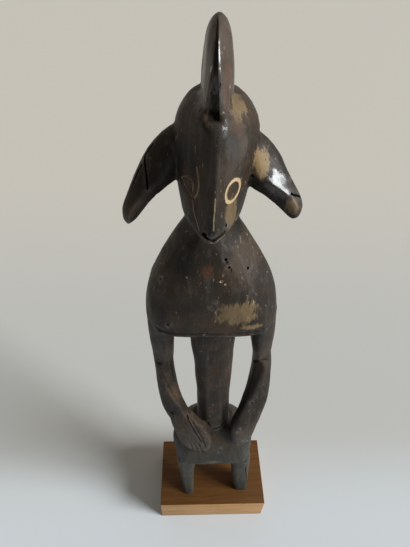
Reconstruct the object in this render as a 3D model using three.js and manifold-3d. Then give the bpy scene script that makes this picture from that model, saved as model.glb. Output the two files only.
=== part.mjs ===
// A carved wooden standing figure in the Mumuye manner, on its plain wooden plinth.
// Millimetres, +Z up. The figure faces -Y, and the origin is at the middle of the plinth's underside.
// The figure is cut from one piece of wood: crest, head, two side lappets, a neck that widens into
// the chest, a round trunk, two free arms whose hands lie on the hips, the hips and two short legs.
import * as THREE from 'three';
import { mergeVertices } from 'three/addons/utils/BufferGeometryUtils.js';
import Module from 'manifold-3d';

const wasm = await Module();
wasm.setup();

// Driving dimensions
const PLINTH = { width: 140, depth: 86, height: 46, chamfer: 0.8 };
const GAP = 0.3;            // clearance between the soles and the plinth
const FIGURE_HEIGHT = 555;  // soles to the tip of the crest
const LEAN = 1.7;           // degrees that the figure leans towards -X
const STANCE = 1;           // how far the soles' middle is from the plinth's middle, towards +X
const LEVEL_STEPS = 2;      // rings for each step from one level to the next
const CORNER_STEPS = 4;     // straight pieces in each rounded corner

// How much of an edge its corner rounds off: 0.5 is fully round, and small values leave a crisp arris.
const ARRIS = 0.1;
const EASED = 0.3;
const ROUND = 0.5;

const BACK_OF_HEAD = 0.46;  // width across the back corners of the head, of its full width
const HIP_SIDE = 10;        // half of the depth of a hip's side
const OUTER_ARRIS = 0.6;    // how far forward an arm's outer arris is, from its back to its front
const INNER_ARRIS = 0.7;    // the same for its inner arris

// Every table below lists levels from the lowest up. z is the height above the soles, mid the place of
// the level's middle in x, front and back are places in y, and half is half of the full width. turn
// moves the front of a level sideways. Left and right are as seen from the front.

// The face is a wedge: its nose line is a narrow front, with a half width of blunt, and its two sides
// run back to the cheeks. cheek and nape are the places in y where the head is widest.
const HEAD = [
  { z: 446, mid: -3.0, nose: -36, blunt: 4, turn: -1.8, half: 15.4, cheek: -10, nape: 4, back: 12 },
  { z: 450, mid: -3.1, nose: -40, blunt: 4, turn: -1.8, half: 18.0, cheek: -11, nape: 6, back: 15 },
  { z: 458, mid: -2.8, nose: -39, blunt: 2.6, turn: -1, half: 19.8, cheek: -11, nape: 9, back: 21 },
  { z: 470, mid: -2.4, nose: -37.5, blunt: 1.4, turn: -0.6, half: 21.8, cheek: -10, nape: 12, back: 27 },
  { z: 488, mid: -1.4, nose: -35, blunt: 1.2, turn: -0.9, half: 24, cheek: -9, nape: 15, back: 31 },
  { z: 502, mid: -0.5, nose: -32.5, blunt: 2.4, turn: -2, half: 23.5, cheek: -8, nape: 16, back: 30 },
  { z: 512, mid: -0.4, nose: -29.5, blunt: 4.6, turn: -3, half: 19.4, cheek: -8, nape: 12, back: 25 },
  { z: 518, mid: -0.6, nose: -23.5, blunt: 4.6, turn: -3, half: 13.8, cheek: -7, nape: 9, back: 18 },
  { z: 522, mid: -0.7, nose: -12, blunt: 1.6, turn: -1, half: 6, cheek: -5, nape: 5, back: 10 },
];
// strip is half of the width of the narrow front and back, and bevel how deep the side facets are.
const CREST = [
  { z: 500, mid: -1.0, front: -22, half: 8.2, strip: 3.8, turn: -2.7, bevel: 10, back: 30 },
  { z: 514, mid: -1.0, front: -23, half: 8.2, strip: 3.8, turn: -2.7, bevel: 10, back: 31 },
  { z: 524, mid: -0.9, front: -24.5, half: 8.1, strip: 3.1, turn: -2.4, bevel: 10, back: 29 },
  { z: 535, mid: -0.6, front: -24.5, half: 7.6, strip: 2.0, turn: -2, bevel: 10, back: 24 },
  { z: 544, mid: -0.5, front: -21, half: 6.6, strip: 1.2, turn: -1.8, bevel: 9, back: 17 },
  { z: 550, mid: -0.4, front: -16, half: 5.2, strip: 0.9, turn: -1.4, bevel: 7, back: 9 },
  { z: 553.5, mid: -0.3, front: -11, half: 3.2, strip: 0.7, turn: -0.8, bevel: 4, back: 2 },
  { z: FIGURE_HEIGHT, mid: -0.2, front: -8, half: 1.2, strip: 0.4, turn: 0, bevel: 2, back: -2 },
];
// The forehead's sharp lip: a shelf cut in front of the crest's foot.
const FOREHEAD_SHELF = { z: 514.5, width: 8.6, mid: -3.7, back: -23.5, front: -40, top: 524 };

// plane is half of the width of the flat front, blade that of the back, and corner the side's depth.
const NECK_AND_CHEST = [
  { z: 350, mid: -3.0, half: 52.6, front: -29, plane: 36, turn: -1, corner: -12, back: 25, blade: 30 },
  { z: 357.5, mid: -3.0, half: 52.0, front: -31, plane: 36, turn: -1, corner: -12, back: 26, blade: 30 },
  { z: 370, mid: -3.0, half: 50.4, front: -30.5, plane: 32, turn: -2, corner: -12, back: 27, blade: 28 },
  { z: 390, mid: -3.0, half: 45.0, front: -29.5, plane: 25, turn: -4, corner: -11, back: 27, blade: 25 },
  { z: 410, mid: -3.2, half: 35.2, front: -27, plane: 17, turn: -4, corner: -9, back: 25, blade: 18 },
  { z: 430, mid: -3.3, half: 24.0, front: -22.5, plane: 9, turn: -4, corner: -6, back: 22, blade: 11 },
  { z: 441, mid: -3.0, half: 17.6, front: -19.5, plane: 5, turn: -4, corner: -4, back: 20, blade: 8 },
  { z: 455, mid: -2.4, half: 14.5, front: -17, plane: 4, turn: -3, corner: -3, back: 18, blade: 7 },
];
// flat is half of the width of the trunk's front and back facets.
const TRUNK = [
  { z: 150, mid: -0.6, half: 17.6, front: -17.5, back: 19, flat: 8 },
  { z: 190, mid: -0.5, half: 17.2, front: -17, back: 18.5, flat: 8 },
  { z: 225, mid: -0.4, half: 16.9, front: -16.5, back: 18, flat: 8 },
  { z: 258, mid: -0.6, half: 17.6, front: -17, back: 18.5, flat: 8 },
  { z: 290, mid: -1.0, half: 18.4, front: -17.5, back: 19, flat: 9 },
  { z: 312, mid: -1.6, half: 19.6, front: -18, back: 20, flat: 9 },
  { z: 356, mid: -1.8, half: 21.0, front: -19, back: 21, flat: 10 },
];
// seat is half of the width of the buttocks' back, and side the place in y where the hips are widest.
const HIPS = [
  { z: 97, mid: -0.6, half: 44.0, front: -27, plane: 35, side: -4, back: 16, seat: 26 },
  { z: 104, mid: -0.6, half: 46.0, front: -29.5, plane: 35, side: -4, back: 22, seat: 26 },
  { z: 120, mid: -0.8, half: 46.8, front: -27.5, plane: 31, side: -4, back: 29, seat: 26 },
  { z: 136, mid: -0.8, half: 45.4, front: -24.5, plane: 27, side: -3, back: 31, seat: 24 },
  { z: 149, mid: -0.6, half: 40.0, front: -21.5, plane: 24, side: -1, back: 27, seat: 20 },
  { z: 157, mid: -0.4, half: 33.0, front: -19, plane: 20, side: 0, back: 22, seat: 15 },
  { z: 165, mid: -0.4, half: 23.0, front: -16, plane: 14, side: 0, back: 17, seat: 10 },
];

// The two sides are carved by eye and differ by a few millimetres, so each has its own levels.
// outer and inner are distances in x from the figure's middle line, and ridge is the front arris.
const LAPPET = {
  left: [
    { z: 446, outer: 56.4, inner: 52.6, front: -17, back: -10, ridge: 54.6 },
    { z: 449, outer: 59.0, inner: 48.4, front: -20, back: -7, ridge: 54.4 },
    { z: 456, outer: 59.4, inner: 42.0, front: -21, back: -4, ridge: 52.6 },
    { z: 462, outer: 57.2, inner: 36.0, front: -20, back: 0, ridge: 49.0 },
    { z: 468, outer: 55.0, inner: 27.0, front: -18, back: 4, ridge: 44.0 },
    { z: 477, outer: 51.4, inner: 14.0, front: -16, back: 8, ridge: 33.0 },
    { z: 488, outer: 44.2, inner: 14.0, front: -14, back: 10, ridge: 26.0 },
    { z: 497, outer: 34.6, inner: 14.0, front: -11, back: 9, ridge: 22.0 },
    { z: 503, outer: 24.0, inner: 12.0, front: -8, back: 6, ridge: 18.0 },
  ],
  right: [
    { z: 450.5, outer: 47.4, inner: 43.0, front: -17, back: -10, ridge: 45.5 },
    { z: 453.5, outer: 51.4, inner: 39.4, front: -20, back: -7, ridge: 47.0 },
    { z: 459, outer: 53.2, inner: 32.6, front: -21, back: -4, ridge: 46.0 },
    { z: 464, outer: 52.2, inner: 24.4, front: -20, back: 0, ridge: 43.5 },
    { z: 469, outer: 50.0, inner: 14.0, front: -18.5, back: 4, ridge: 38.0 },
    { z: 477, outer: 46.0, inner: 13.0, front: -17, back: 8, ridge: 24.0 },
    { z: 486, outer: 40.0, inner: 12.0, front: -14, back: 10, ridge: 20.0 },
    { z: 494, outer: 31.6, inner: 12.0, front: -11, back: 9, ridge: 18.0 },
    { z: 500, outer: 22.0, inner: 10.0, front: -8, back: 6, ridge: 16.0 },
  ],
};
const ARM = {
  left: [
    { z: 170, outer: 34.0, inner: 22.0, front: -22, back: -17, ridge: 26 },
    { z: 186, outer: 41.6, inner: 20.0, front: -25.5, back: -14, ridge: 25 },
    { z: 205, outer: 49.0, inner: 25.0, front: -26, back: -11, ridge: 28 },
    { z: 222, outer: 53.6, inner: 31.2, front: -23.5, back: -6, ridge: 33.5 },
    { z: 240, outer: 55.6, inner: 35.6, front: -19, back: 1, ridge: 42.5 },
    { z: 258, outer: 56.2, inner: 38.2, front: -14, back: 9, ridge: 48.5 },
    { z: 275, outer: 56.8, inner: 38.4, front: -9.5, back: 13, ridge: 51 },
    { z: 286, outer: 57.0, inner: 37.2, front: -9.5, back: 12, ridge: 44 },
    { z: 312, outer: 57.0, inner: 35.4, front: -15, back: 10, ridge: 42 },
    { z: 356, outer: 55.4, inner: 30.5, front: -22, back: 10, ridge: 42 },
  ],
  right: [
    { z: 146, outer: 40.4, inner: 21.0, front: -25.5, back: -16, ridge: 26 },
    { z: 151, outer: 42.6, inner: 18.6, front: -27.5, back: -14, ridge: 24 },
    { z: 183, outer: 46.2, inner: 18.0, front: -28.5, back: -13, ridge: 23 },
    { z: 205, outer: 50.6, inner: 23.4, front: -26, back: -11, ridge: 26 },
    { z: 222, outer: 54.4, inner: 28.4, front: -22.5, back: -5, ridge: 30 },
    { z: 240, outer: 56.0, inner: 33.2, front: -17.5, back: 2, ridge: 37 },
    { z: 258, outer: 56.0, inner: 36.4, front: -12.5, back: 9, ridge: 44 },
    { z: 275, outer: 55.0, inner: 37.0, front: -8.5, back: 13, ridge: 48 },
    { z: 286, outer: 53.6, inner: 36.2, front: -9, back: 12, ridge: 40 },
    { z: 312, outer: 52.8, inner: 32.0, front: -15, back: 10, ridge: 38 },
    { z: 356, outer: 50.0, inner: 25.5, front: -22, back: 10, ridge: 38 },
  ],
};
// Only the left hand still reads as a hand: the right one is worn into the end of its arm.
const LEFT_HAND = [
  { z: 133, outer: 11.6, inner: 8.2, front: -26.5, back: -21 },
  { z: 137, outer: 19.0, inner: 6.4, front: -28, back: -20 },
  { z: 142, outer: 27.0, inner: 5.2, front: -29, back: -19 },
  { z: 150, outer: 33.4, inner: 4.2, front: -29.5, back: -18 },
  { z: 161, outer: 37.4, inner: 4.0, front: -29.5, back: -17 },
  { z: 177, outer: 40.8, inner: 7.0, front: -29, back: -14 },
  { z: 192, outer: 43.4, inner: 14.6, front: -28, back: -13 },
  { z: 214, outer: 46.0, inner: 28.0, front: -23, back: -12 },
];
const LEG = {
  left: [
    { z: 0, outer: 40.0, inner: 26.8, front: -30, back: -8 },
    { z: 12, outer: 40.8, inner: 26.2, front: -28.5, back: -5 },
    { z: 48, outer: 42.8, inner: 25.0, front: -26, back: 4 },
    { z: 80, outer: 44.6, inner: 22.0, front: -26, back: 9 },
    { z: 98, outer: 44.6, inner: 20.0, front: -26, back: 9 },
    { z: 114, outer: 38.0, inner: 22.0, front: -22, back: 6 },
  ],
  right: [
    { z: 0, outer: 47.4, inner: 29.0, front: -26, back: -5 },
    { z: 12, outer: 47.0, inner: 27.2, front: -27, back: -3 },
    { z: 48, outer: 46.2, inner: 24.0, front: -26, back: 5 },
    { z: 80, outer: 45.6, inner: 22.0, front: -26, back: 10 },
    { z: 98, outer: 44.6, inner: 20.0, front: -26, back: 10 },
    { z: 114, outer: 38.0, inner: 22.0, front: -22, back: 6 },
  ],
};

// A closed ring from a polygon of [x, y, rounding] corners: each corner becomes a short parabola.
function roundedRing(corners) {
  const ring = [];
  corners.forEach(([x, y, rounding], i) => {
    const corner = new THREE.Vector2(x, y);
    const before = corners[(i + corners.length - 1) % corners.length];
    const after = corners[(i + 1) % corners.length];
    const start = corner.clone().lerp(new THREE.Vector2(before[0], before[1]), rounding);
    const end = corner.clone().lerp(new THREE.Vector2(after[0], after[1]), rounding);
    const bend = new THREE.QuadraticBezierCurve(start, corner, end);
    // A fully round corner ends where the next one starts, so its last point is left out.
    for (let step = 0; step < CORNER_STEPS; step += 1) {
      ring.push(bend.getPoint(step / (CORNER_STEPS - (rounding < ROUND ? 1 : 0))));
    }
  });
  return ring;
}

// Completes the corners of a right-hand half, listed from front to back, with their mirror image.
function bothSides(half) {
  const mirrored = half.filter(([x]) => x > 0).map(([x, y, rounding]) => [-x, y, rounding]);
  return [...half, ...mirrored.reverse()];
}

// Slides the two front corners of a ring sideways: they are its first and its last.
function slideFront(shift, corners) {
  return corners.map(([x, y, rounding], i) => {
    const inFront = i === 0 || i === corners.length - 1;
    return [inFront ? x + shift : x, y, rounding];
  });
}

// The sizes of a form at a place along its levels, on a smooth curve through the listed ones.
function sizesAt(levels, place) {
  const sizes = {};
  for (const name of Object.keys(levels[0])) {
    const curve = new THREE.SplineCurve(levels.map((level, i) => new THREE.Vector2(i, level[name])));
    sizes[name] = curve.getPoint(place).y;
  }
  return sizes;
}

// A closed skin over a stack of rings, which all have the same number of points.
function skin(rings) {
  const count = rings[0].length;
  const positions = [];
  const faces = [];
  rings.forEach((ring) => ring.forEach((point) => positions.push(point.x, point.y, point.z)));
  for (let r = 0; r + 1 < rings.length; r += 1) {
    for (let i = 0; i < count; i += 1) {
      const here = r * count + i;
      const next = r * count + ((i + 1) % count);
      faces.push(here, next, next + count, here, next + count, here + count);
    }
  }
  const ends = [[rings[0], 0, false], [rings.at(-1), (rings.length - 1) * count, true]];
  for (const [ring, first, upward] of ends) {
    const middle = positions.length / 3;
    const centre = ring.reduce((sum, point) => sum.add(point), new THREE.Vector3()).divideScalar(count);
    positions.push(centre.x, centre.y, centre.z);
    for (let i = 0; i < count; i += 1) {
      const pair = [first + i, first + ((i + 1) % count)];
      faces.push(middle, ...(upward ? pair : pair.reverse()));
    }
  }
  const geometry = new THREE.BufferGeometry();
  geometry.setAttribute('position', new THREE.Float32BufferAttribute(positions, 3));
  geometry.setIndex(faces);
  return geometry;
}

// A carved form: rings cut level by level, with the corners that a form's own function gives.
function carve(levels, cornersOf, side = 1) {
  const rings = [];
  const last = (levels.length - 1) * LEVEL_STEPS;
  for (let step = 0; step <= last; step += 1) {
    const sizes = sizesAt(levels, step / last);
    const mid = sizes.mid ?? 0;
    const ring = roundedRing(cornersOf(sizes)).map(
      (point) => new THREE.Vector3(side * point.x + mid, point.y, sizes.z),
    );
    rings.push(side < 0 ? ring.reverse() : ring);
  }
  return skin(rings);
}

// The face, the crest's front strip and the chest's front plane are turned a little to one side.
const headCorners = (s) => slideFront(s.turn, bothSides([
  [s.blunt, s.nose, EASED],
  [s.half, s.cheek, EASED],
  [s.half, s.nape, ROUND],
  [s.half * BACK_OF_HEAD, s.back, ROUND],
]));

const crestCorners = (s) => slideFront(s.turn, bothSides([
  [s.strip, s.front, ARRIS],
  [s.half, s.front + s.bevel, EASED],
  [s.half, s.back - s.bevel, ROUND],
  [s.strip, s.back, ROUND],
]));

const chestCorners = (s) => slideFront(s.turn, bothSides([
  [s.plane, s.front, EASED],
  [s.half, s.corner, ROUND],
  [s.half, -s.corner, ROUND],
  [s.blade, s.back, ROUND],
]));

const trunkCorners = (s) => bothSides([
  [s.flat, s.front, EASED],
  [s.half, s.front / 2, ROUND],
  [s.half, s.back / 2, ROUND],
  [s.flat, s.back, ROUND],
]);

const hipCorners = (s) => bothSides([
  [s.plane, s.front, EASED],
  [s.half, s.side - HIP_SIDE, ROUND],
  [s.half, s.side + HIP_SIDE, ROUND],
  [s.seat, s.back, ROUND],
]);

const lappetCorners = (s) => [
  [s.ridge, s.front, EASED],
  [s.outer, (s.front + s.back) / 2, ROUND],
  [(s.outer + s.inner) / 2, s.back, ROUND],
  [s.inner, (s.front + s.back) / 2, EASED],
];

const armCorners = (s) => [
  [s.ridge, s.front, EASED],
  [s.outer, THREE.MathUtils.lerp(s.back, s.front, OUTER_ARRIS), ROUND],
  [s.outer, s.back, EASED],
  [s.inner, s.back, EASED],
  [s.inner, THREE.MathUtils.lerp(s.back, s.front, INNER_ARRIS), EASED],
];

const slabCorners = (s) => [
  [s.inner, s.front, EASED],
  [s.outer, s.front, EASED],
  [s.outer, s.back, EASED],
  [s.inner, s.back, EASED],
];

const legCorners = (s) => [
  [s.inner, s.front, EASED],
  [s.outer, s.front, EASED],
  [s.outer, s.back, ROUND],
  [s.inner, s.back, ROUND],
];

// A solid for joining and cutting, and its way back to a geometry.
function toSolid(geometry) {
  const shell = geometry.index ? geometry.clone() : mergeVertices(geometry);
  return new wasm.Manifold(new wasm.Mesh({
    numProp: 3,
    vertProperties: new Float32Array(shell.attributes.position.array),
    triVerts: new Uint32Array(shell.index.array),
  }));
}

function toGeometry(solid) {
  const mesh = solid.getMesh();
  const geometry = new THREE.BufferGeometry();
  geometry.setAttribute('position', new THREE.Float32BufferAttribute(mesh.vertProperties, 3));
  geometry.setIndex(Array.from(mesh.triVerts));
  return geometry;
}

// A plain block for cutting, given by its corners.
function cuttingBlock(low, high) {
  const size = high.clone().sub(low);
  const block = new THREE.BoxGeometry(size.x, size.y, size.z);
  block.translate(low.x + size.x / 2, low.y + size.y / 2, low.z + size.z / 2);
  block.deleteAttribute('normal');
  block.deleteAttribute('uv');
  return mergeVertices(block);
}

function foreheadShelf() {
  const { z, width, mid, back, front, top } = FOREHEAD_SHELF;
  const low = new THREE.Vector3(mid - width / 2, front, z);
  const high = new THREE.Vector3(mid + width / 2, back, top);
  return cuttingBlock(low, high);
}

// The whole carving, upright, with its soles at height zero.
function carvedFigure() {
  let solid = toSolid(carve(HEAD, headCorners)).subtract(toSolid(foreheadShelf()));
  const forms = [
    carve(CREST, crestCorners),
    carve(NECK_AND_CHEST, chestCorners),
    carve(TRUNK, trunkCorners),
    carve(HIPS, hipCorners),
    carve(LEFT_HAND, slabCorners, -1),
  ];
  for (const [name, side] of [['left', -1], ['right', 1]]) {
    forms.push(carve(LAPPET[name], lappetCorners, side));
    forms.push(carve(ARM[name], armCorners, side));
    forms.push(carve(LEG[name], legCorners, side));
  }
  for (const form of forms) {
    solid = solid.add(toSolid(form));
  }
  return toGeometry(solid);
}

// Sets the carving on the plinth: the lean slides each height sideways, so the soles stay flat.
function leaning(geometry) {
  const slide = -Math.tan(THREE.MathUtils.degToRad(LEAN));
  const stand = new THREE.Matrix4().set(
    1, 0, slide, STANCE,
    0, 1, 0, 0,
    0, 0, 1, PLINTH.height + GAP,
    0, 0, 0, 1,
  );
  return geometry.applyMatrix4(stand);
}

function plinthBlock() {
  const { width, depth, height, chamfer } = PLINTH;
  const outline = new THREE.Shape();
  outline.moveTo(-width / 2 + chamfer, -depth / 2 + chamfer);
  outline.lineTo(width / 2 - chamfer, -depth / 2 + chamfer);
  outline.lineTo(width / 2 - chamfer, depth / 2 - chamfer);
  outline.lineTo(-width / 2 + chamfer, depth / 2 - chamfer);
  outline.closePath();
  const block = new THREE.ExtrudeGeometry(outline, {
    depth: height - 2 * chamfer,
    bevelThickness: chamfer,
    bevelSize: chamfer,
    bevelSegments: 1,
  });
  return block.translate(0, 0, chamfer);
}

const patinatedWood = new THREE.MeshStandardMaterial({ color: 0x2b231b, roughness: 0.5, metalness: 0 });
const satinWood = new THREE.MeshStandardMaterial({ color: 0x7a5230, roughness: 0.45, metalness: 0 });

const figure = new THREE.Mesh(leaning(carvedFigure()), patinatedWood);
figure.name = 'carved_figure';

const plinth = new THREE.Mesh(plinthBlock(), satinWood);
plinth.name = 'plinth';

const standingFigure = new THREE.Group();
standingFigure.add(plinth, figure);

export default standingFigure;
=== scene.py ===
"""A carved wooden standing figure on its plinth: its fine carving, its finish, the camera and the light.

The carving is worked from the frame's plain solid: it is cut into finer skin, its edges and hollows are
carved and worn, and then it is aged with cracks, wormholes and chips. Places on it are given either in
millimetres of the upright figure, or as pixels of the photograph, seen through the scene's camera.
"""

import math
import random

import bmesh
import bpy
import numpy as np
from mathutils import Matrix, Vector, noise
from mathutils.bvhtree import BVHTree


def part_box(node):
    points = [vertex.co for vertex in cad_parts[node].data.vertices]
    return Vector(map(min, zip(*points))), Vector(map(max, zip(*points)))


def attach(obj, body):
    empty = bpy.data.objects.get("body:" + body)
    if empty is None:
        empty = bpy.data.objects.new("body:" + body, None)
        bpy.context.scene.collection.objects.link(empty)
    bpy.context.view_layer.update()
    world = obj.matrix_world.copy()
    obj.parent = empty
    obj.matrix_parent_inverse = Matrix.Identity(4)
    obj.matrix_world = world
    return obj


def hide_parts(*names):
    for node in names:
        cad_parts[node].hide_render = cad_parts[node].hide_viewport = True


MM = 0.001

# The figure stands 1 mm right of the plinth's middle, with its soles 46.3 mm up, and leans to the left.
STANCE = 1.0
SOLES = 46.3
LEAN = math.radians(1.7)

# The photograph: its size in pixels, the camera's place in metres and its three turns.
PHOTO_WIDTH = 410
PHOTO_HEIGHT = 547
FOCAL_PIXELS = 400
CAMERA_PLACE = Vector((-0.0286, -0.2143, 0.6411))
CAMERA_DOWN = math.radians(43.89)
CAMERA_YAW = math.radians(2.73)
CAMERA_ROLL = math.radians(1.85)
SENSOR_MM = 36

# The carving's skin
SKIN_STEP = 0.85 * MM        # size of the cells that the solid is cut into
ALL_OVER_ROUNDS = 2          # smoothing of the whole skin
SOFT_ROUNDS = 7              # further smoothing of the chest, trunk and limbs
LEDGE_ROUNDS = 30            # further smoothing beside the crest's foot
TRIANGLE_LIMIT = 190000
EDGE_REACH = 10              # rounds of averaging for finding edges and hollows, which reach about 3 mm
EDGE_HEIGHT = 0.5            # how far in millimetres a full edge stands out

PLINTH_EASING = 0.8          # width in millimetres of the plinth's eased edges


# Places and directions

def on_figure(x, y, height):
    """A place on the upright figure, in millimetres, as a point of the scene."""
    lean_shift = math.tan(LEAN) * height
    return Vector((x + STANCE - lean_shift, y, height + SOLES)) * MM


def upright(places):
    """Points of the scene as millimetres of the upright figure."""
    result = places / MM
    result[:, 2] -= SOLES
    result[:, 0] += math.tan(LEAN) * result[:, 2] - STANCE
    return result


def camera_axes():
    """The camera's right, up and forward directions."""
    yaw_cos, yaw_sin = math.cos(CAMERA_YAW), math.sin(CAMERA_YAW)
    down_cos, down_sin = math.cos(CAMERA_DOWN), math.sin(CAMERA_DOWN)
    forward = Vector((yaw_sin * down_cos, yaw_cos * down_cos, -down_sin))
    level_right = Vector((yaw_cos, -yaw_sin, 0))
    level_up = level_right.cross(forward)
    roll_cos, roll_sin = math.cos(CAMERA_ROLL), math.sin(CAMERA_ROLL)
    right = level_right * roll_cos + level_up * roll_sin
    up = level_up * roll_cos - level_right * roll_sin
    return right, up, forward


def look_through(pixel):
    """The direction in which the camera sees a pixel of the photograph."""
    right, up, forward = camera_axes()
    across = (pixel[0] - PHOTO_WIDTH / 2) / FOCAL_PIXELS
    above = (PHOTO_HEIGHT / 2 - pixel[1]) / FOCAL_PIXELS
    return (forward + right * across + up * above).normalized()


class Skin:
    """A still picture of a piece's surface, for finding places on it."""

    def __init__(self, piece):
        self.tree = BVHTree.FromObject(piece, bpy.context.evaluated_depsgraph_get())

    def seen(self, pixel):
        """The place and normal that the photograph shows at a pixel."""
        place, normal, _, _ = self.tree.ray_cast(CAMERA_PLACE, look_through(pixel))
        return place, normal

    def met(self, x, height, towards):
        """The place and normal met from outside at a width and a height, looking in a level direction."""
        aim = Vector((*towards, 0)).normalized()
        place, normal, _, _ = self.tree.ray_cast(on_figure(x, 0, height) - aim * 0.3, aim)
        return place, normal


def curve_through(points, steps=4):
    """Points on a smooth curve through the given ones, with steps from each one to the next."""
    rows = [np.array(point, float) for point in points]
    rows = [rows[0], *rows, rows[-1]]
    result = []
    for before, start, end, after in zip(rows, rows[1:], rows[2:], rows[3:]):
        for step in range(steps):
            t = step / steps
            straight = start + (end - before) * t / 2
            bend = (2 * before - 5 * start + 4 * end - after) * t ** 2 / 2
            twist = (3 * start - before - 3 * end + after) * t ** 3 / 2
            result.append(tuple(straight + bend + twist))
    result.append(tuple(points[-1]))
    return result


# Handling pieces

def select_only(piece):
    bpy.ops.object.select_all(action="DESELECT")
    piece.select_set(True)
    bpy.context.view_layer.objects.active = piece


def apply_modifier(piece, kind, **settings):
    """Adds a modifier with its settings and applies it."""
    select_only(piece)
    modifier = piece.modifiers.new(kind.title(), kind)
    for name, value in settings.items():
        setattr(modifier, name, value)
    bpy.ops.object.modifier_apply(modifier=modifier.name)


def settle(piece):
    """Puts a piece's place, turn and size into its mesh."""
    select_only(piece)
    bpy.ops.object.transform_apply(location=True, rotation=True, scale=True)


def smooth_shading(piece, angle):
    select_only(piece)
    bpy.ops.object.shade_smooth_by_angle(angle=math.radians(angle))


def cut_away(piece, cutters):
    """Cuts a list of objects out of a piece, all at once."""
    tray = bpy.data.collections.new("cutters")
    bpy.context.scene.collection.children.link(tray)
    for cutter in cutters:
        for collection in list(cutter.users_collection):
            collection.objects.unlink(cutter)
        tray.objects.link(cutter)
    apply_modifier(piece, "BOOLEAN", operand_type="COLLECTION", collection=tray,
                   operation="DIFFERENCE", solver="MANIFOLD")
    for cutter in cutters:
        bpy.data.objects.remove(cutter)
    bpy.data.collections.remove(tray)


def vertex_places(mesh):
    places = np.empty(len(mesh.vertices) * 3, np.float32)
    mesh.vertices.foreach_get("co", places)
    return places.reshape(-1, 3).astype(float)


def vertex_normals(mesh):
    normals = np.empty(len(mesh.vertices) * 3, np.float32)
    mesh.vertex_normals.foreach_get("vector", normals)
    return normals.reshape(-1, 3).astype(float)


def move_vertices(mesh, places):
    mesh.vertices.foreach_set("co", places.astype(np.float32).ravel())
    mesh.update()


def store_values(mesh, name, values):
    """Keeps a number for each vertex, which a material can read by its name."""
    attribute = mesh.attributes.new(name, "FLOAT", "POINT")
    attribute.data.foreach_set("value", values.astype(np.float32))


def hump(values, centre, half_width):
    """One at the centre, falling smoothly to nothing at the half width."""
    nearness = np.clip(1 - np.abs(values - centre) / half_width, 0, 1)
    return nearness * nearness * (3 - 2 * nearness)


def ramp(values, low, high):
    """Nothing below low, one above high and smooth between. It falls where high is below low."""
    share = np.clip((values - low) / (high - low), 0, 1)
    return share * share * (3 - 2 * share)


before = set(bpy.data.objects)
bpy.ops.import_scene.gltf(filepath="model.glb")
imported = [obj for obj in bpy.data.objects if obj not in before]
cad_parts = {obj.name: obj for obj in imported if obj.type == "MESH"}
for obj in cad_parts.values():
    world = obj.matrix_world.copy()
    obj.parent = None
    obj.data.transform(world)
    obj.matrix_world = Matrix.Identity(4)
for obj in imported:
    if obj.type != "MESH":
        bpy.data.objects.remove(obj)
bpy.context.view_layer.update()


# The figure's broad carving

# Grooves cut before the skin is worn smooth: pixels of the photograph, width and depth in millimetres.
MOUTH = [(201.5, 233.2), (206.5, 238.4), (211.3, 241.3), (218.0, 238.0), (225.4, 231.8)]
LEFT_ELBOW = [(156.0, 361.6), (161.0, 363.8), (167.0, 364.0)]
LEFT_FOREARM = [(158.0, 365.0), (161.0, 373.0), (166.0, 384.0), (172.0, 394.0), (179.0, 404.0)]
RIGHT_ELBOW = [(253.0, 361.5), (259.0, 360.6), (268.0, 359.4)]
HAND_DIVIDE = [(189.5, 416.5), (194.0, 425.0), (198.6, 433.0), (202.6, 440.6), (205.4, 448.0)]
FINGER_GAPS = [
    [(192.6, 450.5), (191.0, 446.0), (188.6, 441.6)],
    [(197.6, 452.2), (195.6, 447.2), (192.8, 442.4)],
    [(203.0, 454.0), (200.4, 448.4), (197.2, 443.2)],
]
CARVED_GROOVES = [
    (MOUTH, 1.8, 1.2),
    (LEFT_ELBOW, 3.4, 2.0),
    (LEFT_FOREARM, 4.0, 1.3),
    (RIGHT_ELBOW, 3.0, 1.6),
    (HAND_DIVIDE, 2.8, 2.4),
    *[(gap, 2.4, 2.2) for gap in FINGER_GAPS],
]


def new_object(name, mesh):
    """Puts a mesh that was built in code into the scene."""
    data = bpy.data.meshes.new(name)
    mesh.to_mesh(data)
    mesh.free()
    item = bpy.data.objects.new(name, data)
    bpy.context.scene.collection.objects.link(item)
    return item


def groove_cutter(hits, width, depth, ends=0.3):
    """A long wedge that follows a line of places on the skin and is thinner at both ends."""
    mesh = bmesh.new()
    rings = []
    last = len(hits) - 1
    for i, (place, normal) in enumerate(hits):
        share = ends if i in (0, last) else 1
        along = (hits[min(i + 1, last)][0] - hits[max(i - 1, 0)][0]).normalized()
        half = along.cross(normal).normalized() * width * share * 0.8 * MM
        top = place + normal * width * 0.3 * MM
        bottom = place - normal * depth * share * MM
        rings.append([mesh.verts.new(corner) for corner in (top - half, top + half, bottom)])
    for ring, following in zip(rings, rings[1:]):
        for i in range(3):
            j = (i + 1) % 3
            mesh.faces.new((ring[i], ring[j], following[j], following[i]))
    mesh.faces.new(rings[0][::-1])
    mesh.faces.new(rings[-1])
    bmesh.ops.recalc_face_normals(mesh, faces=mesh.faces)
    return new_object("groove", mesh)


def hits_along(skin, pixels, steps=4):
    """The places that the photograph shows along a line of pixels, without any that miss the figure."""
    hits = [skin.seen(pixel) for pixel in curve_through(pixels, steps)]
    return [hit for hit in hits if hit[0] is not None]


def plain_carving():
    """A copy of the frame's figure with its loose triangles sewn together."""
    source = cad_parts["carved_figure"]
    carving = bpy.data.objects.new("figure_carving", source.data.copy())
    bpy.context.scene.collection.objects.link(carving)
    carving.data.materials.clear()
    select_only(carving)
    bpy.ops.object.mode_set(mode="EDIT")
    bpy.ops.mesh.select_all(action="SELECT")
    bpy.ops.mesh.remove_doubles(threshold=0.00001)
    bpy.ops.object.mode_set(mode="OBJECT")
    return carving


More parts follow.
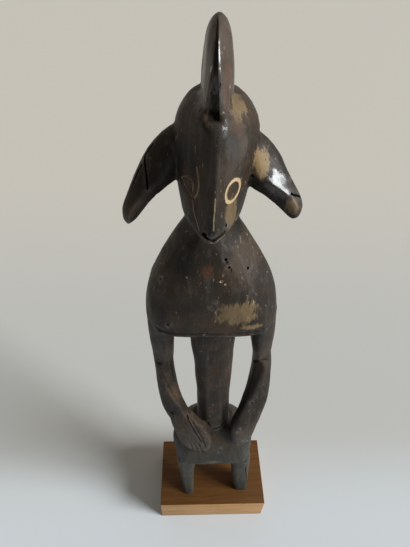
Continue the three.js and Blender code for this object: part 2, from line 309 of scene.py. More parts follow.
def carve_grooves(carving):
    """Cuts the mouth, the elbows' creases and the left hand's fingers."""
    skin = Skin(carving)
    cut_away(carving, [groove_cutter(hits_along(skin, pixels), width, depth)
                       for pixels, width, depth in CARVED_GROOVES])


# Where the crest meets the forehead, at both ends of the ledge.
LEDGE_ENDS = [(205.4, 119.0), (221.6, 118.0)]

# Broad swellings, and hollows where the height is negative: pixel, radius and height in millimetres.
SWELLINGS = [
    ((237.0, 147.0), 17, 1.8), ((239.0, 122.0), 10, -0.9), ((229.0, 213.0), 12, -0.7),
    ((195.0, 206.0), 12, -0.5), ((234.0, 191.3), 5, 0.5), ((187.0, 186.0), 7, -0.4),
]


def smooth_where(carving, softness, rounds):
    """Smooths the skin by a share given for each vertex, in four levels."""
    group = carving.vertex_groups.new(name="softness")
    for level in range(1, 5):
        members = np.flatnonzero(np.round(softness * 4) == level)
        group.add(members.tolist(), level / 4, "REPLACE")
    apply_modifier(carving, "SMOOTH", factor=0.5, iterations=rounds, vertex_group="softness")
    carving.vertex_groups.clear()


def wear_smooth(carving):
    """Rounds the skin: a little all over, more on the broad forms below the head, and most at the ledge."""
    apply_modifier(carving, "SMOOTH", factor=0.5, iterations=ALL_OVER_ROUNDS)
    places = vertex_places(carving.data)
    height = upright(places.copy())[:, 2]
    smooth_where(carving, ramp(height, 445, 430) * ramp(height, 6, 14), SOFT_ROUNDS)
    skin = Skin(carving)
    near_ledge = np.zeros(len(places))
    for pixel in LEDGE_ENDS:
        gap = np.linalg.norm(places - np.array(skin.seen(pixel)[0]), axis=1)
        near_ledge = np.maximum(near_ledge, hump(gap / MM, 0, 9))
    smooth_where(carving, near_ledge, LEDGE_ROUNDS)


LIP_HEIGHT = 351.6


def shape_by_hand(carving):
    """The lip under the chest, and the slight unevenness that a hand-held blade leaves."""
    mesh = carving.data
    places = vertex_places(mesh)
    normals = vertex_normals(mesh)
    x, y, height = upright(places.copy()).T
    on_front = ramp(-normals[:, 1], 0.35, 0.8) * ramp(y, -18, -24)
    lip = hump(height, LIP_HEIGHT, 3.2) * 1.0 - hump(height, LIP_HEIGHT + 3.6, 1.8) * 0.6
    push = on_front * lip * MM
    skin = Skin(carving)
    for pixel, radius, swell in SWELLINGS:
        gap = np.linalg.norm(places - np.array(skin.seen(pixel)[0]), axis=1)
        push += hump(gap / MM, 0, radius) * swell * MM
    for i, place in enumerate(places):
        broad = noise.noise(place / (24 * MM))
        hollow = noise.voronoi(Vector((place[0] / 13, place[1] / 13, place[2] / 24)) / MM)[0][0]
        fine = noise.noise(Vector((place[0] / 4.5, place[1] / 4.5, place[2] / 15)) / MM)
        push[i] += (0.35 * broad + 0.45 * (hollow ** 2 - 0.2) + 0.10 * fine) * MM
    # The soles stay flat, where they meet the plinth.
    push *= ramp(height, 2, 8)
    move_vertices(mesh, places + normals * push[:, None])


carving = plain_carving()
carve_grooves(carving)
apply_modifier(carving, "REMESH", mode="VOXEL", voxel_size=SKIN_STEP)
wear_smooth(carving)
shape_by_hand(carving)

# The figure's fine carving and its damage

# The right eye is an incised ring, and the left one a leaf of thin lines.
EYE_CENTRE = (234.0, 191.3)
EYE_RING_RADIUS = 6.6
EYE_RING_WIDTH = 2.3
EYE_RING_DEPTH = 0.5
LEFT_EYE_LINES = [
    [(196.8, 168.0), (198.2, 177.0), (198.8, 186.0), (197.4, 194.0), (194.4, 198.4)],
    [(181.6, 177.4), (184.4, 184.0), (187.4, 190.4), (191.2, 195.8), (194.4, 198.4)],
    [(181.6, 177.4), (187.0, 176.6), (191.2, 179.4), (193.2, 184.4), (192.6, 191.6)],
]
LINE_WIDTH = 1.1
LINE_DEPTH = 0.5

# The recess down the crest's front: its left and right edges in the photograph, and its depth there.
CREST_RECESS = [
    ((217.2, 17.0), (218.6, 17.0), 0.4), ((216.2, 24.0), (219.0, 24.0), 0.9),
    ((215.4, 36.0), (218.9, 36.0), 1.3), ((214.5, 48.0), (218.7, 48.0), 1.5),
    ((213.2, 62.0), (218.6, 62.0), 1.7), ((212.0, 76.0), (218.8, 76.0), 1.9),
    ((210.2, 90.0), (219.5, 90.0), 2.2), ((208.2, 104.0), (220.0, 104.0), 2.6),
    ((206.6, 115.0), (220.4, 115.0), 3.0), ((205.8, 121.8), (220.8, 121.8), 3.4),
]

# Carved lines, and the cracks: pixels of the photograph, width and depth in millimetres.
TRUNK_FOOT = [(228.4, 404.0), (227.6, 412.0), (226.2, 418.6), (222.6, 424.4), (218.1, 427.8),
              (213.6, 428.4), (209.4, 426.0), (206.8, 421.0)]
THUMB = [(187.2, 414.5), (188.8, 421.0), (192.6, 428.0), (197.0, 435.4), (202.0, 443.0)]
MOUTH_LINE = [(201.8, 233.4), (204.5, 236.2), (207.5, 239.0), (211.3, 241.4), (214.6, 240.2),
              (218.2, 237.6), (222.0, 234.4), (225.6, 231.4)]
CARVED_LINES = [
    (TRUNK_FOOT, 2.2, 1.6),
    (THUMB, 1.6, 1.5),
    (MOUTH_LINE, 1.3, 1.8),
    ([(202.2, 233.8), (204.6, 234.6), (206.8, 235.8)], 1.8, 2.0),
    (RIGHT_ELBOW, 1.4, 1.2),
    ([(245.0, 467.0), (245.8, 473.0), (246.4, 479.0), (246.9, 485.0)], 2.4, 1.0),
]
CRACKS = [
    ([(153.6, 143.0), (149.0, 149.6), (145.2, 155.6), (144.8, 164.0), (146.0, 172.0), (146.8, 181.0),
      (147.2, 191.0)], 0.8, 4.0),
    ([(142.2, 163.6), (138.4, 170.4), (135.4, 177.0), (132.4, 184.4)], 0.7, 3.0),
    ([(290.6, 192.8), (293.6, 195.2), (296.8, 195.4), (300.6, 196.8)], 1.0, 6.0),
    ([(187.0, 209.0), (186.2, 222.0)], 0.4, 0.6),
]

# Wormholes: pixel of the photograph and radius in millimetres.
WORMHOLES = [
    (248.0, 268.0, 1.1), (160.6, 279.0, 0.8), (168.0, 325.0, 0.9), (251.5, 402.8, 1.0),
    (239.2, 430.8, 1.0), (245.1, 440.8, 1.1), (240.5, 443.6, 0.8), (244.6, 464.6, 1.0),
    (244.4, 460.0, 0.8), (220.1, 450.7, 1.1), (226.2, 225.4, 1.1),
    (226.0, 259.6, 1.1), (229.4, 267.6, 0.9), (252.6, 175.6, 0.9), (214.0, 305.8, 0.5),
]
UNSEEN_WORMHOLES = 16
WORMHOLE_DEPTH = 5.0

# Chips broken from edges: pixel of the photograph and radius in millimetres.
CHIPS = [
    (155.6, 195.6, 2.2), (221.4, 281.4, 1.0), (225.4, 284.6, 0.9), (247.0, 487.4, 2.6),
    (226.6, 262.8, 1.3), (231.0, 270.4, 1.2), (220.0, 85.0, 0.9), (184.2, 491.0, 1.8),
]


def rough_ball(place, radius, seed):
    """A small uneven lump for knocking chips out of an edge."""
    bpy.ops.mesh.primitive_ico_sphere_add(subdivisions=3, radius=radius * MM, location=place)
    ball = bpy.context.object
    settle(ball)
    mesh = ball.data
    places = vertex_places(mesh)
    centre = np.array(place)
    shift = Vector((seed * 3.7, seed * 1.3, 0))
    for i, point in enumerate(places):
        offset = point - centre
        swell = 1 + 0.45 * noise.noise(Vector(offset / (radius * 0.7 * MM)) + shift)
        places[i] = centre + offset * swell * np.array((1, 1, 1.25))
    move_vertices(mesh, places)
    return ball


def drill(place, normal, radius):
    """A narrow round cutter that goes into the surface, leaning a little as a borer's tunnel does."""
    inward = (-normal + Vector((0.15, 0.1, -0.25))).normalized()
    length = (WORMHOLE_DEPTH + 2) * MM
    middle = place + inward * (length / 2 - 2 * MM)
    bpy.ops.mesh.primitive_cylinder_add(vertices=14, radius=radius * MM, depth=length, location=middle)
    hole = bpy.context.object
    hole.rotation_mode = "QUATERNION"
    hole.rotation_quaternion = inward.to_track_quat("Z", "Y")
    settle(hole)
    return hole


def unseen_hits(skin):
    """Places on the back and the sides, which the photograph doesn't show, for a few more wormholes."""
    chance = random.Random(7)
    hits = []
    while len(hits) < UNSEEN_WORMHOLES:
        height = chance.uniform(20, 520)
        turn = math.radians(chance.uniform(20, 160))
        towards = (math.cos(turn), -math.sin(turn))
        place, normal = skin.met(chance.uniform(-30, 30), height, towards)
        if place is not None:
            hits.append((place, normal, chance.uniform(0.6, 1.1)))
    return hits


def channel_cutter(sections):
    """A long solid through sections of four corners each."""
    mesh = bmesh.new()
    rings = [[mesh.verts.new(corner) for corner in corners] for corners in sections]
    for ring, following in zip(rings, rings[1:]):
        for i in range(4):
            j = (i + 1) % 4
            mesh.faces.new((ring[i], ring[j], following[j], following[i]))
    mesh.faces.new(rings[0][::-1])
    mesh.faces.new(rings[-1])
    bmesh.ops.triangulate(mesh, faces=mesh.faces)
    bmesh.ops.recalc_face_normals(mesh, faces=mesh.faces)
    return new_object("channel", mesh)


def recess_cutter(skin):
    """The channel down the crest's front, with a flat floor."""
    sections = []
    for left, right, depth in CREST_RECESS:
        left_place = skin.seen(left)[0]
        right_place = skin.seen(right)[0]
        outward = -look_through(((left[0] + right[0]) / 2, left[1]))
        outward.z *= 0.4
        outward.normalize()
        rise = outward * 2 * MM
        sink = -outward * depth * MM
        inset = (right_place - left_place) * 0.12
        sections.append((left_place + rise, right_place + rise,
                         right_place - inset + sink, left_place + inset + sink))
    return channel_cutter(sections)


def eye_ring_cutter(place, normal):
    bpy.ops.mesh.primitive_torus_add(
        major_segments=64, minor_segments=12, location=place,
        major_radius=EYE_RING_RADIUS * MM, minor_radius=EYE_RING_WIDTH / 2 * MM,
    )
    ring = bpy.context.object
    ring.rotation_mode = "QUATERNION"
    ring.rotation_quaternion = normal.to_track_quat("Z", "Y")
    # The torus sinks into the wood by the groove's depth and no more.
    ring.scale.z = EYE_RING_DEPTH / (EYE_RING_WIDTH / 2)
    settle(ring)
    return ring


def age(carving):
    """Incises the eyes, then opens the cracks, wormholes and chips."""
    skin = Skin(carving)
    eye_place, eye_normal = skin.seen(EYE_CENTRE)
    cutters = [eye_ring_cutter(eye_place, eye_normal), recess_cutter(skin)]
    for pixels in LEFT_EYE_LINES:
        cutters.append(groove_cutter(hits_along(skin, pixels), LINE_WIDTH, LINE_DEPTH))
    for pixels, width, depth in CARVED_LINES + CRACKS:
        cutters.append(groove_cutter(hits_along(skin, pixels), width, depth))
    holes = [(*skin.seen((column, row)), radius) for column, row, radius in WORMHOLES]
    cutters += [drill(*hole) for hole in holes + unseen_hits(skin) if hole[0] is not None]
    for seed, (column, row, radius) in enumerate(CHIPS):
        place, normal = skin.seen((column, row))
        if place is not None:
            cutters.append(rough_ball(place + normal * radius * 0.45 * MM, radius, seed))
    cut_away(carving, cutters)


figure_skin = Skin(carving)
age(carving)


def thin_out(piece, limit):
    """Takes away the triangles that a flat stretch doesn't need, down to the limit."""
    apply_modifier(piece, "TRIANGULATE")
    count = len(piece.data.polygons)
    if count > limit:
        apply_modifier(piece, "DECIMATE", ratio=limit / count)


thin_out(carving, TRIANGLE_LIMIT)
smooth_shading(carving, 50)
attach(carving, "root")
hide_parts("carved_figure")


def mark_edges(piece):
    """Stores for each vertex how much it stands out on an edge, and how deep it lies in a hollow."""
    mesh = piece.data
    places = vertex_places(mesh)
    pairs = np.empty(len(mesh.edges) * 2, np.int32)
    mesh.edges.foreach_get("vertices", pairs)
    first, second = pairs.reshape(-1, 2).T
    count = np.bincount(np.concatenate((first, second)), minlength=len(places))

    def neighbours_mean(values):
        total = [np.bincount(first, row[second], len(places)) + np.bincount(second, row[first], len(places))
                 for row in values.T]
        return np.stack(total, 1) / count[:, None]

    # A vertex that stands out lies beyond the mean of the skin around it.
    around = places
    for _ in range(EDGE_REACH):
        around = 0.5 * around + 0.5 * neighbours_mean(around)
    height = ((places - around) * vertex_normals(mesh)).sum(1, keepdims=True) / MM
    height = 0.5 * height + 0.5 * neighbours_mean(height)
    store_values(mesh, "standing_out", np.clip(height[:, 0] / EDGE_HEIGHT, 0, 1))
    store_values(mesh, "hollow", np.clip(-height[:, 0] / EDGE_HEIGHT, 0, 1))


mark_edges(carving)


# The plinth

def make_plinth():
    """The block, with its edges eased by hand."""
    low, high = [Vector(corner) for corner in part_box("plinth")]
    bpy.ops.object.select_all(action="DESELECT")
    bpy.ops.mesh.primitive_cube_add(size=1, location=(low + high) / 2)
    block = bpy.context.object
    block.name = "plinth_block"
    block.scale = high - low
    settle(block)
    apply_modifier(block, "BEVEL", width=PLINTH_EASING * MM, segments=4, limit_method="NONE")
    smooth_shading(block, 40)
    return block


plinth = make_plinth()
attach(plinth, "root")
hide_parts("plinth")


# Tools for materials

def add_node(tree, kind, inputs=None, **settings):
    """Adds a shader node. Each input is a plain value or another node's output."""
    node = tree.nodes.new("ShaderNode" + kind)
    for name, value in settings.items():
        setattr(node, name, value)
    for name, value in (inputs or {}).items():
        if isinstance(value, bpy.types.NodeSocket):
            tree.links.new(value, node.inputs[name])
        else:
            node.inputs[name].default_value = value
    return node


def maths(tree, operation, *values):
    return add_node(tree, "Math", dict(enumerate(values)), operation=operation).outputs[0]


def vectors(tree, operation, *values):
    """Vector arithmetic. A dot product, a length and a distance give a number."""
    node = add_node(tree, "VectorMath", dict(enumerate(values)), operation=operation)
    gives_number = operation in ("DOT_PRODUCT", "LENGTH", "DISTANCE")
    return node.outputs["Value" if gives_number else "Vector"]


def rising(tree, value, low, high, bottom=0.0, top=1.0):
    """Bottom below low, top above high and smooth between."""
    node = add_node(tree, "MapRange", {
        "Value": value, "From Min": low, "From Max": high, "To Min": bottom, "To Max": top,
    }, interpolation_type="SMOOTHSTEP")
    return node.outputs["Result"]


def mottle(tree, coordinates, size, detail=3.0, roughness=0.55):
    """Cloudy noise with spots of about that size in millimetres."""
    node = add_node(tree, "TexNoise", {
        "Vector": coordinates, "Scale": 1 / (size * MM), "Detail": detail, "Roughness": roughness,
    })
    return node.outputs["Fac"]


def laid_over(tree, share, under, over, way="MIX"):
    """Lays one colour over another by a share that may change over the surface."""
    node = add_node(tree, "Mix", {0: share, 6: under, 7: over}, data_type="RGBA", blend_type=way)
    return node.outputs[2]


def begin_group(name, inputs, outputs):
    """Starts a node group with named inputs and outputs, and gives its tree and its two end nodes."""
    tree = bpy.data.node_groups.new(name, "ShaderNodeTree")
    for label, kind in inputs.items():
        tree.interface.new_socket(label, in_out="INPUT", socket_type="NodeSocket" + kind)
    for label, kind in outputs.items():
        tree.interface.new_socket(label, in_out="OUTPUT", socket_type="NodeSocket" + kind)
    start = tree.nodes.new("NodeGroupInput").outputs
    end = tree.nodes.new("NodeGroupOutput").inputs
    return tree, start, end


def use_group(tree, group, inputs):
    """Places a group in a material with its own values."""
    node = tree.nodes.new("ShaderNodeGroup")
    node.node_tree = group
    for name, value in inputs.items():
        if isinstance(value, bpy.types.NodeSocket):
            tree.links.new(value, node.inputs[name])
        else:
            node.inputs[name].default_value = value
    return node.outputs


def begin_material(name):
    """An empty material and its Principled shader."""
    material = bpy.data.materials.new(name)
    material.use_nodes = True
    tree = material.node_tree
    tree.nodes.clear()
    output = tree.nodes.new("ShaderNodeOutputMaterial")
    shader = tree.nodes.new("ShaderNodeBsdfPrincipled")
    tree.links.new(shader.outputs[0], output.inputs["Surface"])
    return material, tree, shader.inputs


def finish_with(piece, material):
    """Gives a whole piece one material."""
    piece.data.materials.clear()
    piece.data.materials.append(material)
    piece.data.polygons.foreach_set("material_index", [0] * len(piece.data.polygons))


def screen(red, green, blue):
    """A colour as it looks on a screen, 0 to 255, in the shader's terms."""
    parts = []
    for value in (red, green, blue):
        share = value / 255
        parts.append(share / 12.92 if share <= 0.04045 else ((share + 0.055) / 1.055) ** 2.4)
    return (*parts, 1)


# Effects that the materials share

def wood_grain():
    """Long streaks and short pores along the Z axis of its coordinates."""
    tree, start, end = begin_group(
        "wood_grain", {"Coordinates": "Vector", "Streak Width": "Float"},
        {"Streaks": "Float", "Pores": "Float"},
    )
    waver = mottle(tree, start["Coordinates"], 60, 1.0)
    shift = add_node(tree, "CombineXYZ", {0: waver, 1: waver, 2: 0.0}).outputs[0]
    bent = vectors(tree, "MULTIPLY_ADD", shift, (0.012, 0.012, 0), start["Coordinates"])
    squeezed = vectors(tree, "MULTIPLY", bent, (1, 1, 0.045))
    wide = vectors(tree, "SCALE", squeezed)
    scale = maths(tree, "DIVIDE", 1000.0, start["Streak Width"])
    tree.links.new(scale, wide.node.inputs["Scale"])
    streaks = add_node(tree, "TexNoise", {"Vector": wide, "Scale": 1.0, "Detail": 4.0, "Roughness": 0.6})
    tree.links.new(streaks.outputs["Fac"], end["Streaks"])
    pore_cells = vectors(tree, "MULTIPLY", bent, (1300, 1300, 110))
    pores = add_node(tree, "TexNoise", {"Vector": pore_cells, "Scale": 1.0, "Detail": 1.0})
    tree.links.new(rising(tree, pores.outputs["Fac"], 0.60, 0.72), end["Pores"])
    return tree


def tinted_patch():
    """Lays a tint over a colour inside a soft oval with a broken edge."""
    tree, start, end = begin_group(
        "tinted_patch",
        {"Colour": "Color", "Coordinates": "Vector", "Breakup": "Float", "Centre": "Vector",
         "Radii": "Vector", "Tint": "Color", "Strength": "Float"},
        {"Colour": "Color", "Mask": "Float"},
    )
    offset = vectors(tree, "SUBTRACT", start["Coordinates"], start["Centre"])
    distance = vectors(tree, "LENGTH", vectors(tree, "DIVIDE", offset, start["Radii"]))
    # The tint dissolves into specks towards the oval's edge.
    nearness = rising(tree, distance, 1.2, 0.1)
    speckled = maths(tree, "MULTIPLY_ADD", nearness, 0.42, start["Breakup"])
    mask = maths(tree, "MULTIPLY", rising(tree, speckled, 0.62, 0.84), start["Strength"])
    tree.links.new(mask, end["Mask"])
    tree.links.new(laid_over(tree, mask, start["Colour"], start["Tint"]), end["Colour"])
    return tree


def drawn_line():
    """Lays a tint over a colour along a straight stroke with a broken edge."""
    tree, start, end = begin_group(
        "drawn_line",
        {"Colour": "Color", "Coordinates": "Vector", "Breakup": "Float", "From": "Vector",
         "To": "Vector", "Width": "Float", "Tint": "Color", "Strength": "Float"},
        {"Colour": "Color"},
    )
    stroke = vectors(tree, "SUBTRACT", start["To"], start["From"])
    offset = vectors(tree, "SUBTRACT", start["Coordinates"], start["From"])
    reach = maths(tree, "DIVIDE", vectors(tree, "DOT_PRODUCT", offset, stroke),
                  vectors(tree, "DOT_PRODUCT", stroke, stroke))
    clamped = add_node(tree, "Clamp", {"Value": reach}).outputs[0]
    nearest = vectors(tree, "SCALE", stroke)
    tree.links.new(clamped, nearest.node.inputs["Scale"])
    gap = vectors(tree, "DISTANCE", offset, nearest)
    ratio = maths(tree, "DIVIDE", gap, start["Width"])
    broken = maths(tree, "MULTIPLY_ADD", start["Breakup"], 0.9, ratio)
    shape = rising(tree, broken, 1.1, 0.65)
    mask = maths(tree, "MULTIPLY", shape, start["Strength"])
    tree.links.new(laid_over(tree, mask, start["Colour"], start["Tint"]), end["Colour"])
    return tree


def worn_and_highlit_edges():
    """Masks of the edges rubbed by hands, which are painted lighter both as wear and as a painted
    highlight, and of the hollows where dirt stays.
    """
    tree, start, end = begin_group(
        "worn_and_highlit_edges", {"Coordinates": "Vector"}, {"Edges": "Float", "Hollows": "Float"},
    )
    standing = add_node(tree, "Attribute", attribute_name="standing_out").outputs["Fac"]
    hollow = add_node(tree, "Attribute", attribute_name="hollow").outputs["Fac"]
    patchy = rising(tree, mottle(tree, start["Coordinates"], 6), 0.35, 0.65)
    tree.links.new(maths(tree, "MULTIPLY", rising(tree, standing, 0.15, 0.9), patchy), end["Edges"])
    tree.links.new(rising(tree, hollow, 0.1, 0.9), end["Hollows"])
    return tree


def settled_dust():
    """A mask of fine dust on what faces up."""
    tree, start, end = begin_group("settled_dust", {"Coordinates": "Vector"}, {"Dust": "Float"})
    normal = add_node(tree, "NewGeometry").outputs["Normal"]
    level = rising(tree, vectors(tree, "DOT_PRODUCT", normal, (0, 0, 1)), 0.35, 1.0)
    patchy = rising(tree, mottle(tree, start["Coordinates"], 9, 4.0), 0.3, 0.75)
    tree.links.new(maths(tree, "MULTIPLY", level, patchy), end["Dust"])
    return tree


WOOD_GRAIN = wood_grain()
TINTED_PATCH = tinted_patch()
DRAWN_LINE = drawn_line()
WORN_AND_HIGHLIT_EDGES = worn_and_highlit_edges()
SETTLED_DUST = settled_dust()


# The figure's patina

BLACK_CRUST = (0.016, 0.011, 0.007, 1)
DARK_BROWN = (0.045, 0.026, 0.014, 1)
DRY_GREY = (0.072, 0.064, 0.054, 1)
GREEN_GREY = (0.047, 0.051, 0.043, 1)
RED_BROWN = (0.075, 0.030, 0.014, 1)
OCHRE = (0.30, 0.20, 0.095, 1)
PALE_OCHRE = (0.46, 0.34, 0.19, 1)
BARE_WOOD = (0.50, 0.37, 0.23, 1)

# Tinted patches: pixel of the photograph, radii in millimetres, tint and strength.
PATCHES = [
    ((262, 163), (8, 12, 14), OCHRE, 0.75),
    ((238, 106), (8, 12, 12), OCHRE, 0.45),
    ((231, 214), (10, 10, 18), OCHRE, 0.35),
    ((190, 190), (12, 12, 18), RED_BROWN, 0.5),
    ((240, 314), (26, 12, 17), OCHRE, 0.4),
    ((208, 272), (6, 7, 9), RED_BROWN, 0.6),
    ((213, 372), (9, 12, 22), RED_BROWN, 0.35),
    ((293, 207), (7, 9, 8), OCHRE, 0.4),
    ((127, 210), (6, 8, 8), RED_BROWN, 0.5),
    ((228, 85), (5, 8, 16), RED_BROWN, 0.6),
    ((237, 125), (8, 8, 9), RED_BROWN, 0.4),
    ((252, 327), (14, 6, 4), OCHRE, 0.5),
    ((213, 462), (14, 5, 2.5), OCHRE, 0.35),
    ((221.4, 281.6), (1.8, 2, 1.6), BARE_WOOD, 0.9),
    ((225.4, 284.8), (1.4, 2, 1.4), BARE_WOOD, 0.8),
]

# Lines rubbed or scratched into the surface: pixels, width in millimetres, tint and strength.
LINES = [
    ([(196.8, 168.0), (198.2, 177.0), (198.8, 186.0), (197.4, 194.0), (194.4, 198.4)], 1.6, OCHRE, 0.8),
    ([(181.6, 177.4), (184.4, 184.0), (187.4, 190.4), (191.2, 195.8), (194.4, 198.4)], 1.4, OCHRE, 0.7),
    ([(181.6, 177.4), (187.0, 176.6), (191.2, 179.4), (193.2, 184.4), (192.6, 191.6)], 1.3, OCHRE, 0.6),
    ([(192.5, 200.0), (193.4, 211.0), (196.5, 221.4), (199.2, 230.4)], 1.1, OCHRE, 0.7),
    ([(215.2, 199.0), (214.8, 210.0), (213.8, 221.0), (213.6, 231.0)], 0.9, PALE_OCHRE, 0.6),
    ([(238.9, 213.0), (236.0, 219.0), (233.0, 225.0)], 1.3, OCHRE, 0.5),
    ([(201.5, 236.0), (206.0, 240.0), (211.3, 243.4), (218.0, 240.5), (225.0, 234.5)], 0.9, OCHRE, 0.4),
    ([(240.0, 236.0), (241.0, 243.0)], 0.8, OCHRE, 0.5),
]
EYE_LINE_TINT = (0.50, 0.36, 0.20, 1)

# Places polished by hands: pixel of the photograph, radii in millimetres and strength.
POLISHED = [
    ((238, 140), (14, 16, 24), 1.0),
    ((225, 55), (8, 20, 40), 1.0),
    ((232, 75), (8, 20, 30), 0.6),
    ((282, 185), (16, 12, 12), 0.9),
    ((236, 165), (14, 14, 20), 0.7),
    ((245, 260), (22, 20, 34), 0.5),
    ((205, 60), (10, 20, 50), 0.5),
]


def seen_place(pixel):
    return figure_skin.seen(pixel)[0]


def figure_material():
    material, tree, shader = begin_material("patinated_wood")
    coordinates = add_node(tree, "TexCoord").outputs["Object"]
    grain = use_group(tree, WOOD_GRAIN, {"Coordinates": coordinates, "Streak Width": 5.0})
    edge_wear_highlight_and_grime = use_group(tree, WORN_AND_HIGHLIT_EDGES, {"Coordinates": coordinates})
    dust = use_group(tree, SETTLED_DUST, {"Coordinates": coordinates})["Dust"]

    # The crust: black and brown in clouds, drier and greyer towards the legs.
    clouds = mottle(tree, coordinates, 38, 5.0, 0.6)
    colour = laid_over(tree, rising(tree, clouds, 0.40, 0.66), BLACK_CRUST, DARK_BROWN)
    colour = laid_over(tree, maths(tree, "MULTIPLY", rising(tree, grain["Streaks"], 0.5, 0.75), 0.5),
                       colour, DRY_GREY)
    height = add_node(tree, "SeparateXYZ", {"Vector": coordinates}).outputs["Z"]
    lower = rising(tree, height, 0.26, 0.10)
    colour = laid_over(tree, maths(tree, "MULTIPLY", lower, 0.6), colour, GREEN_GREY)

    breakup = mottle(tree, vectors(tree, "MULTIPLY", coordinates, (1, 1, 0.4)), 3.0, 5.0, 0.75)
    for pixel, radii, tint, strength in PATCHES:
        colour = use_group(tree, TINTED_PATCH, {
            "Colour": colour, "Coordinates": coordinates, "Breakup": breakup,
            "Centre": seen_place(pixel), "Radii": Vector(radii) * MM, "Tint": tint, "Strength": strength,
        })["Colour"]
    # Raised edges are painted a lighter grey: partly rubbed wear, partly a painted highlight where they
    # catch the light.
    colour = laid_over(tree, maths(tree, "MULTIPLY", edge_wear_highlight_and_grime["Edges"], 0.5), colour, DRY_GREY)
    colour = laid_over(tree, maths(tree, "MULTIPLY", edge_wear_highlight_and_grime["Hollows"], 0.7), colour, BLACK_CRUST)
    fine_breakup = maths(tree, "SUBTRACT", mottle(tree, coordinates, 1.6, 3.0, 0.7), 0.35)
    for pixels, width, tint, strength in LINES:
        for begin, finish in zip(pixels, pixels[1:]):
            colour = use_group(tree, DRAWN_LINE, {
                "Colour": colour, "Coordinates": coordinates, "Breakup": fine_breakup,
                "From": seen_place(begin), "To": seen_place(finish), "Width": width / 2 * MM,
                "Tint": tint, "Strength": strength,
            })["Colour"]
    ring_gap = vectors(tree, "DISTANCE", coordinates, seen_place(EYE_CENTRE))
    off_ring = maths(tree, "ABSOLUTE", maths(tree, "SUBTRACT", ring_gap, EYE_RING_RADIUS * MM))
    broken = maths(tree, "MULTIPLY_ADD", fine_breakup, 1.4 * MM, off_ring)
    on_ring = rising(tree, broken, 1.6 * MM, 0.9 * MM)
    colour = laid_over(tree, maths(tree, "MULTIPLY", on_ring, 0.85), colour, EYE_LINE_TINT)
    colour = laid_over(tree, maths(tree, "MULTIPLY", grain["Pores"], 0.5), colour, BLACK_CRUST)
    colour = laid_over(tree, maths(tree, "MULTIPLY", dust, 0.25), colour, DRY_GREY)
    tree.links.new(colour, shader["Base Color"])

    # The dry crust is matt, and what hands have polished has a coat of shine.
    roughness = rising(tree, mottle(tree, coordinates, 15, 4.0), 0.3, 0.7, 0.5, 0.68)
    roughness = maths(tree, "ADD", roughness, maths(tree, "MULTIPLY", dust, 0.12))
    tree.links.new(roughness, shader["Roughness"])
    shader["Specular IOR Level"].default_value = 0.18
    polish = maths(tree, "MULTIPLY_ADD", edge_wear_highlight_and_grime["Edges"], 0.5, 0.05)
    for pixel, radii, strength in POLISHED:
        spot = use_group(tree, TINTED_PATCH, {
            "Coordinates": coordinates, "Breakup": breakup, "Centre": seen_place(pixel),
            "Radii": Vector(radii) * MM, "Strength": strength,
        })["Mask"]
        polish = maths(tree, "MAXIMUM", polish, spot)
    tree.links.new(polish, shader["Coat Weight"])
    shader["Coat Roughness"].default_value = 0.24

    crust = mottle(tree, coordinates, 3.0, 6.0, 0.65)
    relief = maths(tree, "ADD", crust, maths(tree, "MULTIPLY", grain["Streaks"], 0.8))
    relief = maths(tree, "SUBTRACT", relief, maths(tree, "MULTIPLY", grain["Pores"], 0.5))
    bump = add_node(tree, "Bump", {"Height": relief, "Distance": 0.5 * MM, "Strength": 0.5})
    tree.links.new(bump.outputs["Normal"], shader["Normal"])
    return material


finish_with(carving, figure_material())


# The plinth's varnished wood

# The top is painted darker, as painted shade, and the front and back lighter, as painted light from the
# floor; the ends lie between. Each face has a darker and a lighter tone for its grain.
PLINTH_SHADED_TOP_AND_PORES_DARK = screen(82, 50, 18)
PLINTH_SHADED_TOP_LIGHT = screen(98, 64, 28)
PLINTH_FLOOR_LIT_SIDE_DARK = screen(172, 126, 74)
PLINTH_FLOOR_LIT_SIDE_LIGHT = screen(190, 146, 92)
PLINTH_END_DARK = screen(112, 76, 38)
PLINTH_END_LIGHT = screen(130, 92, 52)


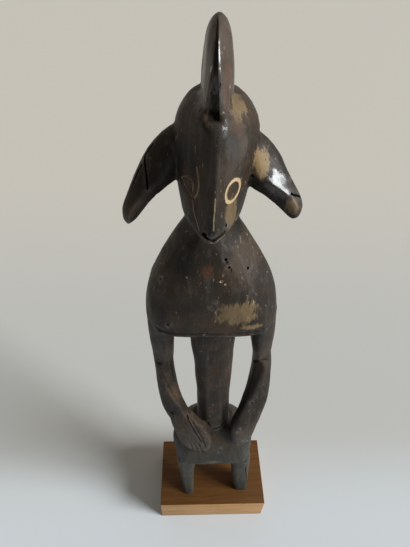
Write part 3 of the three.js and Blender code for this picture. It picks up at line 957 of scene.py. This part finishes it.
def plinth_material():
    material, tree, shader = begin_material("plinth_wood")
    coordinates = add_node(tree, "TexCoord").outputs["Object"]
    turned = add_node(tree, "Mapping", {"Vector": coordinates, "Rotation": (0, math.pi / 2, 0)})
    along = turned.outputs["Vector"]
    grain = use_group(tree, WOOD_GRAIN, {"Coordinates": along, "Streak Width": 4.0})
    streaks = rising(tree, grain["Streaks"], 0.3, 0.72)
    # Painted light and shade by the way each face points: the top takes the painted-shade colours, the
    # front and back the painted floor light, and the ends the tones between.
    top = laid_over(tree, streaks, PLINTH_SHADED_TOP_AND_PORES_DARK, PLINTH_SHADED_TOP_LIGHT)
    floor_lit_side = laid_over(tree, streaks, PLINTH_FLOOR_LIT_SIDE_DARK, PLINTH_FLOOR_LIT_SIDE_LIGHT)
    end = laid_over(tree, streaks, PLINTH_END_DARK, PLINTH_END_LIGHT)
    normal = add_node(tree, "NewGeometry").outputs["Normal"]
    shaded_top_share = rising(tree, vectors(tree, "DOT_PRODUCT", normal, (0, 0, 1)), 0.3, 0.8)
    across = maths(tree, "ABSOLUTE", vectors(tree, "DOT_PRODUCT", normal, (1, 0, 0)))
    colour = laid_over(tree, rising(tree, across, 0.4, 0.8), floor_lit_side, end)
    colour = laid_over(tree, shaded_top_share, colour, top)
    colour = laid_over(tree, maths(tree, "MULTIPLY", grain["Pores"], 0.5), colour, PLINTH_SHADED_TOP_AND_PORES_DARK)
    tree.links.new(colour, shader["Base Color"])
    tree.links.new(rising(tree, grain["Streaks"], 0.3, 0.7, 0.52, 0.44), shader["Roughness"])
    shader["Specular IOR Level"].default_value = 0.25
    relief = maths(tree, "SUBTRACT", maths(tree, "MULTIPLY", grain["Streaks"], 0.4), grain["Pores"])
    bump = add_node(tree, "Bump", {"Height": relief, "Distance": 0.15 * MM, "Strength": 0.5})
    tree.links.new(bump.outputs["Normal"], shader["Normal"])
    return material


finish_with(plinth, plinth_material())


# The camera, the floor and the light

FLOOR_SIZE = 14
FLOOR_NEAR = screen(206, 211, 215)
# The floor is painted darker just behind the plinth, as painted shade, and grows paler towards the back.
FLOOR_SHADED_BAND = screen(190, 190, 187)
FLOOR_FAR = screen(203, 198, 189)

SUN_STRENGTH = 5.0
SUN_SPREAD = math.radians(28)
SUN_HEIGHT = math.radians(27)
SUN_TURN = math.radians(-20)    # it comes from the picture's right, and a little from the front
SUN_TINT = (0.94, 0.98, 1.0)
ROOM_TINT = (1.0, 0.93, 0.82, 1)
ROOM_BEHIND = 0.45
ROOM_IN_FRONT = 0.04


def add_camera():
    data = bpy.data.cameras.new("camera")
    data.sensor_fit = "HORIZONTAL"
    data.sensor_width = SENSOR_MM
    data.lens = FOCAL_PIXELS / PHOTO_WIDTH * SENSOR_MM
    data.clip_start = 0.01
    camera = bpy.data.objects.new("camera", data)
    right, up, forward = camera_axes()
    turn = Matrix((right, up, -forward)).transposed()
    camera.matrix_world = Matrix.Translation(CAMERA_PLACE) @ turn.to_4x4()
    bpy.context.scene.collection.objects.link(camera)
    bpy.context.scene.camera = camera


def floor_material():
    material, tree, shader = begin_material("studio_floor")
    coordinates = add_node(tree, "TexCoord").outputs["Object"]
    depth = add_node(tree, "SeparateXYZ", {"Vector": coordinates}).outputs["Y"]
    # Painted shade: a darker band just behind the plinth, between the pale near floor and the pale far
    # floor.
    colour = laid_over(tree, rising(tree, depth, 0.1, 0.9), FLOOR_SHADED_BAND, FLOOR_FAR)
    colour = laid_over(tree, rising(tree, depth, 0.09, -0.06), colour, FLOOR_NEAR)
    tree.links.new(colour, shader["Base Color"])
    tree.links.new(rising(tree, mottle(tree, coordinates, 40), 0.3, 0.7, 0.7, 0.8), shader["Roughness"])
    return material


def add_floor():
    bpy.ops.object.select_all(action="DESELECT")
    bpy.ops.mesh.primitive_plane_add(size=FLOOR_SIZE, location=(0, 0, 0))
    floor = bpy.context.object
    floor.name = "studio_floor"
    floor.data.materials.append(floor_material())


def add_light():
    """Soft daylight from the right, and the pale room's own light all round."""
    data = bpy.data.lights.new("window", "SUN")
    data.energy = SUN_STRENGTH
    data.angle = SUN_SPREAD
    data.color = SUN_TINT
    sun = bpy.data.objects.new("window", data)
    bpy.context.scene.collection.objects.link(sun)
    towards = Vector((math.cos(SUN_HEIGHT) * math.cos(SUN_TURN), math.cos(SUN_HEIGHT) * math.sin(SUN_TURN),
                      math.sin(SUN_HEIGHT)))
    sun.rotation_mode = "QUATERNION"
    sun.rotation_quaternion = towards.to_track_quat("Z", "Y")
    world = bpy.data.worlds.new("room")
    world.use_nodes = True
    tree = world.node_tree
    direction = add_node(tree, "TexCoord").outputs["Generated"]
    depth = add_node(tree, "SeparateXYZ", {"Vector": direction}).outputs["Y"]
    background = tree.nodes["Background"].inputs
    background["Color"].default_value = ROOM_TINT
    tree.links.new(rising(tree, depth, -0.5, 0.4, ROOM_IN_FRONT, ROOM_BEHIND), background["Strength"])
    bpy.context.scene.world = world
    bpy.context.scene.view_settings.view_transform = "Standard"


add_camera()
add_floor()
add_light()
